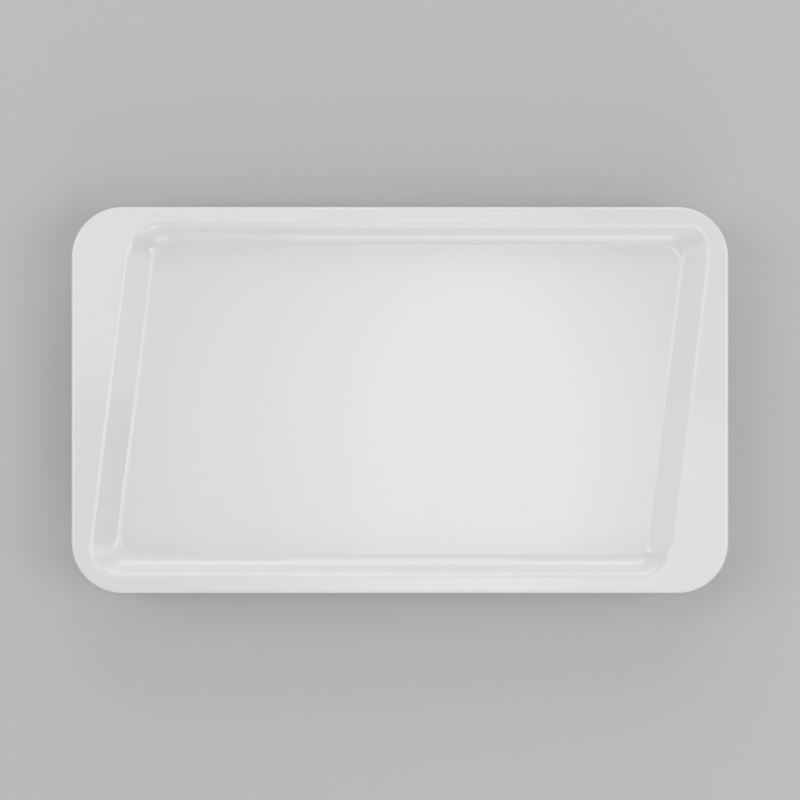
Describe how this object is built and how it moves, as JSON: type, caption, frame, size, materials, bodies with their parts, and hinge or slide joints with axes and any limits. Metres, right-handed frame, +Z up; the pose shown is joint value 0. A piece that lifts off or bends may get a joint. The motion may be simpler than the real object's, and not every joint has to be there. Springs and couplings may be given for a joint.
{
  "type": "wet palette",
  "caption": "Flat rectangular wet palette with rounded corners: a tray with sponge and membrane, closed by a lift-off lid dished into a slanted mixing well.",
  "frame": {"origin": "centre of the closed palette's footprint, on the plane its four feet stand on", "axes": "+X along the palette's length, +Y across its width, +Z up through the lid"},
  "size_m": [0.29, 0.1704, 0.028],
  "materials": {
    "lid": "glossy white moulded plastic, a little wavy",
    "tray": "white moulded plastic, satin inside",
    "seal": "translucent silicone, satin",
    "sponge": "open-pored cellulose sponge, damp",
    "membrane": "thin parchment-like paper, faintly mottled",
    "foot": "matt dark rubber"
  },
  "bodies": {
    "tray": {"tray": "tray", "foot_front_left": "foot", "foot_front_right": "foot", "foot_rear_left": "foot", "foot_rear_right": "foot"},
    "sponge": {"sponge": "sponge"},
    "membrane": {"membrane": "membrane"},
    "lid": {"lid": "lid", "lid_seal": "seal"}
  },
  "joints": [
    {"name": "sponge_lift", "type": "slide", "parent": "tray", "child": "sponge", "axis": [0, 0, 1], "range_m": [0, 0.03]},
    {"name": "membrane_lift", "type": "slide", "parent": "sponge", "child": "membrane", "axis": [0, 0, 1], "range_m": [0, 0.03]},
    {"name": "lid_lift", "type": "slide", "parent": "membrane", "child": "lid", "axis": [0, 0, 1], "range_m": [0, 0.06]}
  ]
}
